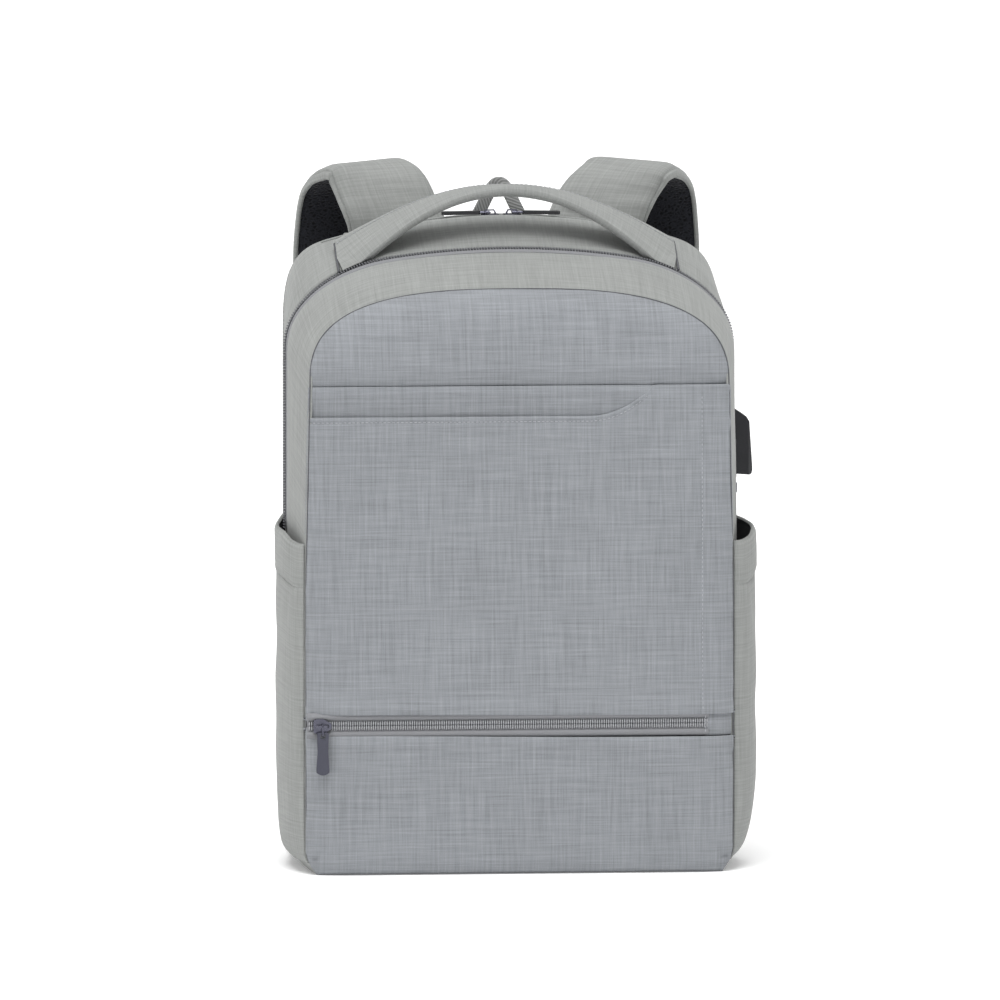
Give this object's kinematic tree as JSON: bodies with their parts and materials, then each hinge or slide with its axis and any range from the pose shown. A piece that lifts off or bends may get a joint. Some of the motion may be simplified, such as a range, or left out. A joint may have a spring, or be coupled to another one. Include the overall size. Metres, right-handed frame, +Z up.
{
  "type": "laptop backpack",
  "caption": "Grey melange laptop backpack with a folding zipped front, slip and lower zip pockets, side pockets, outside charging port, top handle and padded straps.",
  "frame": {"origin": "centre of the flat base, on the floor it stands on", "axes": "+Z up, -Y towards the front pockets, +X to the right of someone facing the front"},
  "size_m": [0.3412, 0.2516, 0.489],
  "materials": {
    "front_cloth": "melange linen-look weave",
    "body_cloth": "melange linen-look weave, warmer grey",
    "lining": "smooth lining",
    "mesh": "open air mesh",
    "webbing": "twill webbing",
    "zip_tape": "ribbed zip tape and nylon coil",
    "slider_metal": "dark purple-grey satin plating",
    "pull": "smooth moulded, satin",
    "dark_pull": "smooth moulded, satin",
    "port_plastic": "gloss black",
    "socket_metal": "plated",
    "socket_tongue": "plain moulded",
    "lock_plastic": "satin moulded"
  },
  "bodies": {
    "bag": {"back_panel": "lining", "back_pad_left": "mesh", "back_pad_right": "mesh", "base_panel": "body_cloth", "rear_gusset": "body_cloth", "side_panel_left": "body_cloth", "side_panel_right": "body_cloth", "lower_pocket_panel": "front_cloth", "pocket_lining": "lining", "pocket_panel_lower": "front_cloth", "slip_pocket_floor": "lining", "laptop_divider": "lining", "main_zip_rear_tape": "zip_tape", "laptop_zip_front_tape": "zip_tape", "laptop_zip_rear_tape": "zip_tape", "lower_zip_top_tape": "zip_tape", "lower_zip_bottom_tape": "zip_tape", "lower_zip_end_tab": "front_cloth", "side_pocket_left": "body_cloth", "side_pocket_right": "body_cloth", "pocket_hem_left": "body_cloth", "pocket_hem_right": "body_cloth", "usb_housing": "port_plastic", "usb_socket_shell": "socket_metal", "usb_tongue": "socket_tongue", "usb_lead_gland": "port_plastic", "hang_loop": "webbing", "handle_end_left": "body_cloth", "handle_end_right": "body_cloth", "strap_anchor_left": "body_cloth", "strap_anchor_right": "body_cloth", "lower_webbing_left": "webbing", "lower_webbing_right": "webbing"},
    "front_flap": {"flap_gusset": "body_cloth", "upper_front_panel": "front_cloth", "pocket_facing": "front_cloth", "pocket_panel_upper": "front_cloth", "main_zip_front_tape": "zip_tape"},
    "handle": {"handle_grip": "body_cloth"},
    "lower_slider": {"lower_slider": "slider_metal"},
    "lower_pull": {"lower_pull_ring": "slider_metal", "lower_pull_tab": "pull"},
    "laptop_slider_left": {"laptop_slider_left": "slider_metal"},
    "laptop_pull_left": {"laptop_pull_loop_left": "slider_metal", "laptop_pull_tab_left": "dark_pull"},
    "laptop_slider_right": {"laptop_slider_right": "slider_metal"},
    "laptop_pull_right": {"laptop_pull_loop_right": "slider_metal", "laptop_pull_tab_right": "dark_pull"},
    "main_slider": {"main_slider": "slider_metal"},
    "main_pull": {"main_pull_loop": "slider_metal", "main_pull_tab": "dark_pull"},
    "left_strap": {"strap_pad_left": "body_cloth", "strap_mesh_left": "mesh", "ladder_lock_left": "lock_plastic", "strap_tail_left": "webbing"},
    "right_strap": {"strap_pad_right": "body_cloth", "strap_mesh_right": "mesh", "ladder_lock_right": "lock_plastic", "strap_tail_right": "webbing"}
  },
  "joints": [
    {"name": "front_fold", "type": "hinge", "parent": "bag", "child": "front_flap", "pos_m": [0, -0.0843, 0.235], "axis": [1, 0, 0], "range_deg": [0, 32]},
    {"name": "handle_swing", "type": "hinge", "parent": "bag", "child": "handle", "pos_m": [0, 0.028, 0.424], "axis": [1, 0, 0], "range_deg": [-10, 20], "stiffness_Nm_per_rad": 0.15},
    {"name": "lower_zip_travel", "type": "slide", "parent": "bag", "child": "lower_slider", "axis": [1, 0, 0], "range_m": [0, 0.26]},
    {"name": "lower_pull_lift", "type": "hinge", "parent": "lower_slider", "child": "lower_pull", "pos_m": [-0.139, -0.09095, 0.105], "axis": [-1, 0, 0], "range_deg": [0, 150]},
    {"name": "laptop_zip_travel_left", "type": "hinge", "parent": "bag", "child": "laptop_slider_left", "pos_m": [0, 0.066, -0.0055], "axis": [0, -1, 0], "range_deg": [0, 10.5]},
    {"name": "laptop_pull_lift_left", "type": "hinge", "parent": "laptop_slider_left", "child": "laptop_pull_left", "pos_m": [-0.00799, 0.066, 0.45233], "axis": [0, 1, 0], "range_deg": [0, 150]},
    {"name": "laptop_zip_travel_right", "type": "hinge", "parent": "bag", "child": "laptop_slider_right", "pos_m": [0, 0.066, -0.0055], "axis": [0, 1, 0], "range_deg": [0, 10.5]},
    {"name": "laptop_pull_lift_right", "type": "hinge", "parent": "laptop_slider_right", "child": "laptop_pull_right", "pos_m": [0.00799, 0.066, 0.45233], "axis": [0, -1, 0], "range_deg": [0, 150]},
    {"name": "main_zip_travel", "type": "slide", "parent": "bag", "child": "main_slider", "axis": [0, 0, 1], "range_m": [0, 0.09]},
    {"name": "main_pull_lift", "type": "hinge", "parent": "main_slider", "child": "main_pull", "pos_m": [0.1589, 0.0045, 0.262], "axis": [0, 1, 0], "range_deg": [0, 145]},
    {"name": "left_strap_swing", "type": "hinge", "parent": "bag", "child": "left_strap", "pos_m": [0, 0.092, 0.44], "axis": [1, 0, 0], "range_deg": [0, 20]},
    {"name": "right_strap_swing", "type": "hinge", "parent": "bag", "child": "right_strap", "pos_m": [0, 0.092, 0.44], "axis": [1, 0, 0], "range_deg": [0, 20]}
  ]
}
